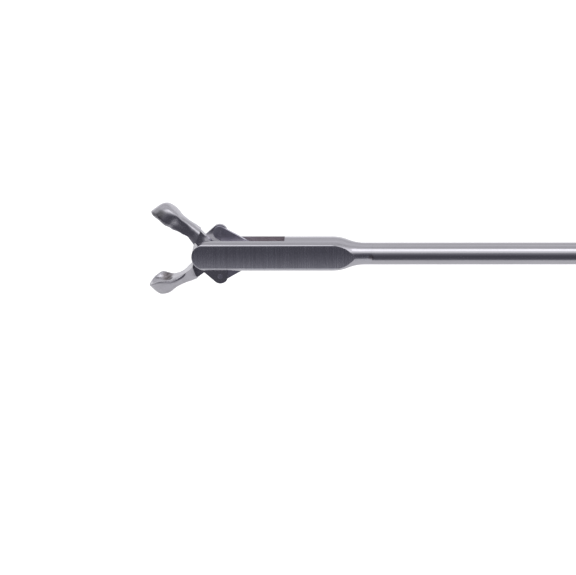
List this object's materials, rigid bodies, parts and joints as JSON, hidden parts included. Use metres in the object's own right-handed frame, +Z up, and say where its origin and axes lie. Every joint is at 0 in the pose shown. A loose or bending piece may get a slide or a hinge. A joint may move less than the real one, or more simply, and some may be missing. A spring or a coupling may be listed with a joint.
{
  "type": "cup forceps",
  "caption": "Double-action cup forceps: two spoon jaws in a slotted head, a long thin round shaft and a handle with a fixed finger ring and a hinged thumb ring.",
  "frame": {"origin": "on the shaft axis, at the handle's front face where the shaft leaves it", "axes": "+X from the jaws along the shaft to the handle, +Z up, away from the finger rings; the jaws and lever turn about Y"},
  "size_m": [0.1957, 0.009, 0.0798],
  "materials": {
    "head_steel": "ground flats, fine grind lines across the shaft",
    "jaw_steel": "satin outside, fine blasted inside",
    "link_steel": "ground faces, rough edges",
    "tube_steel": "drawn tube, satin with lines along the shaft",
    "handle_steel": "satin",
    "bright_steel": "turned and polished"
  },
  "bodies": {
    "frame": {"clevis_head": "head_steel", "jaw_pivot_pin": "bright_steel", "shaft_tube": "tube_steel", "rod_guide": "bright_steel", "shaft_collar": "handle_steel", "handle_body": "handle_steel", "stop_pin": "bright_steel", "tube_set_screw": "bright_steel", "lever_screw": "bright_steel", "lever_screw_nut": "bright_steel"},
    "upper_jaw": {"upper_jaw": "jaw_steel", "lower_link_pin": "bright_steel"},
    "lower_jaw": {"lower_jaw": "jaw_steel", "upper_link_pin": "bright_steel"},
    "upper_link": {"upper_link": "link_steel"},
    "lower_link": {"lower_link": "link_steel"},
    "pull_rod": {"rod_fork": "bright_steel", "rod_fork_pin": "bright_steel", "pull_rod": "bright_steel", "rod_ball": "bright_steel"},
    "thumb_lever": {"thumb_lever": "handle_steel"}
  },
  "joints": [
    {"name": "lever_squeeze", "type": "hinge", "parent": "frame", "child": "thumb_lever", "pos_m": [0.0205, 0, -0.0095], "axis": [0, 1, 0], "range_deg": [0, 12.81]},
    {"name": "rod_pull", "type": "slide", "parent": "frame", "child": "pull_rod", "axis": [1, 0, 0], "range_m": [0, 0.00213]},
    {"name": "upper_jaw_close", "type": "hinge", "parent": "frame", "child": "upper_jaw", "pos_m": [-0.1198, 0, 0], "axis": [0, 1, 0], "range_deg": [-34.51, 0]},
    {"name": "lower_jaw_close", "type": "hinge", "parent": "frame", "child": "lower_jaw", "pos_m": [-0.1198, 0, 0], "axis": [0, 1, 0], "range_deg": [0, 34.51]},
    {"name": "upper_link_turn", "type": "hinge", "parent": "lower_jaw", "child": "upper_link", "pos_m": [-0.11781, 0, 0.00318], "axis": [0, 1, 0], "range_deg": [-51.1, 0]},
    {"name": "lower_link_turn", "type": "hinge", "parent": "upper_jaw", "child": "lower_link", "pos_m": [-0.11781, 0, -0.00318], "axis": [0, 1, 0], "range_deg": [0, 51.1]}
  ],
  "couplings": [
    {"joint": "rod_pull", "follows": "lever_squeeze", "m_per_rad": 0.0095398},
    {"joint": "upper_jaw_close", "follows": "lever_squeeze", "ratio": -2.6926},
    {"joint": "lower_jaw_close", "follows": "lever_squeeze", "ratio": 2.6926},
    {"joint": "upper_link_turn", "follows": "lever_squeeze", "ratio": -3.9872},
    {"joint": "lower_link_turn", "follows": "lever_squeeze", "ratio": 3.9872}
  ]
}
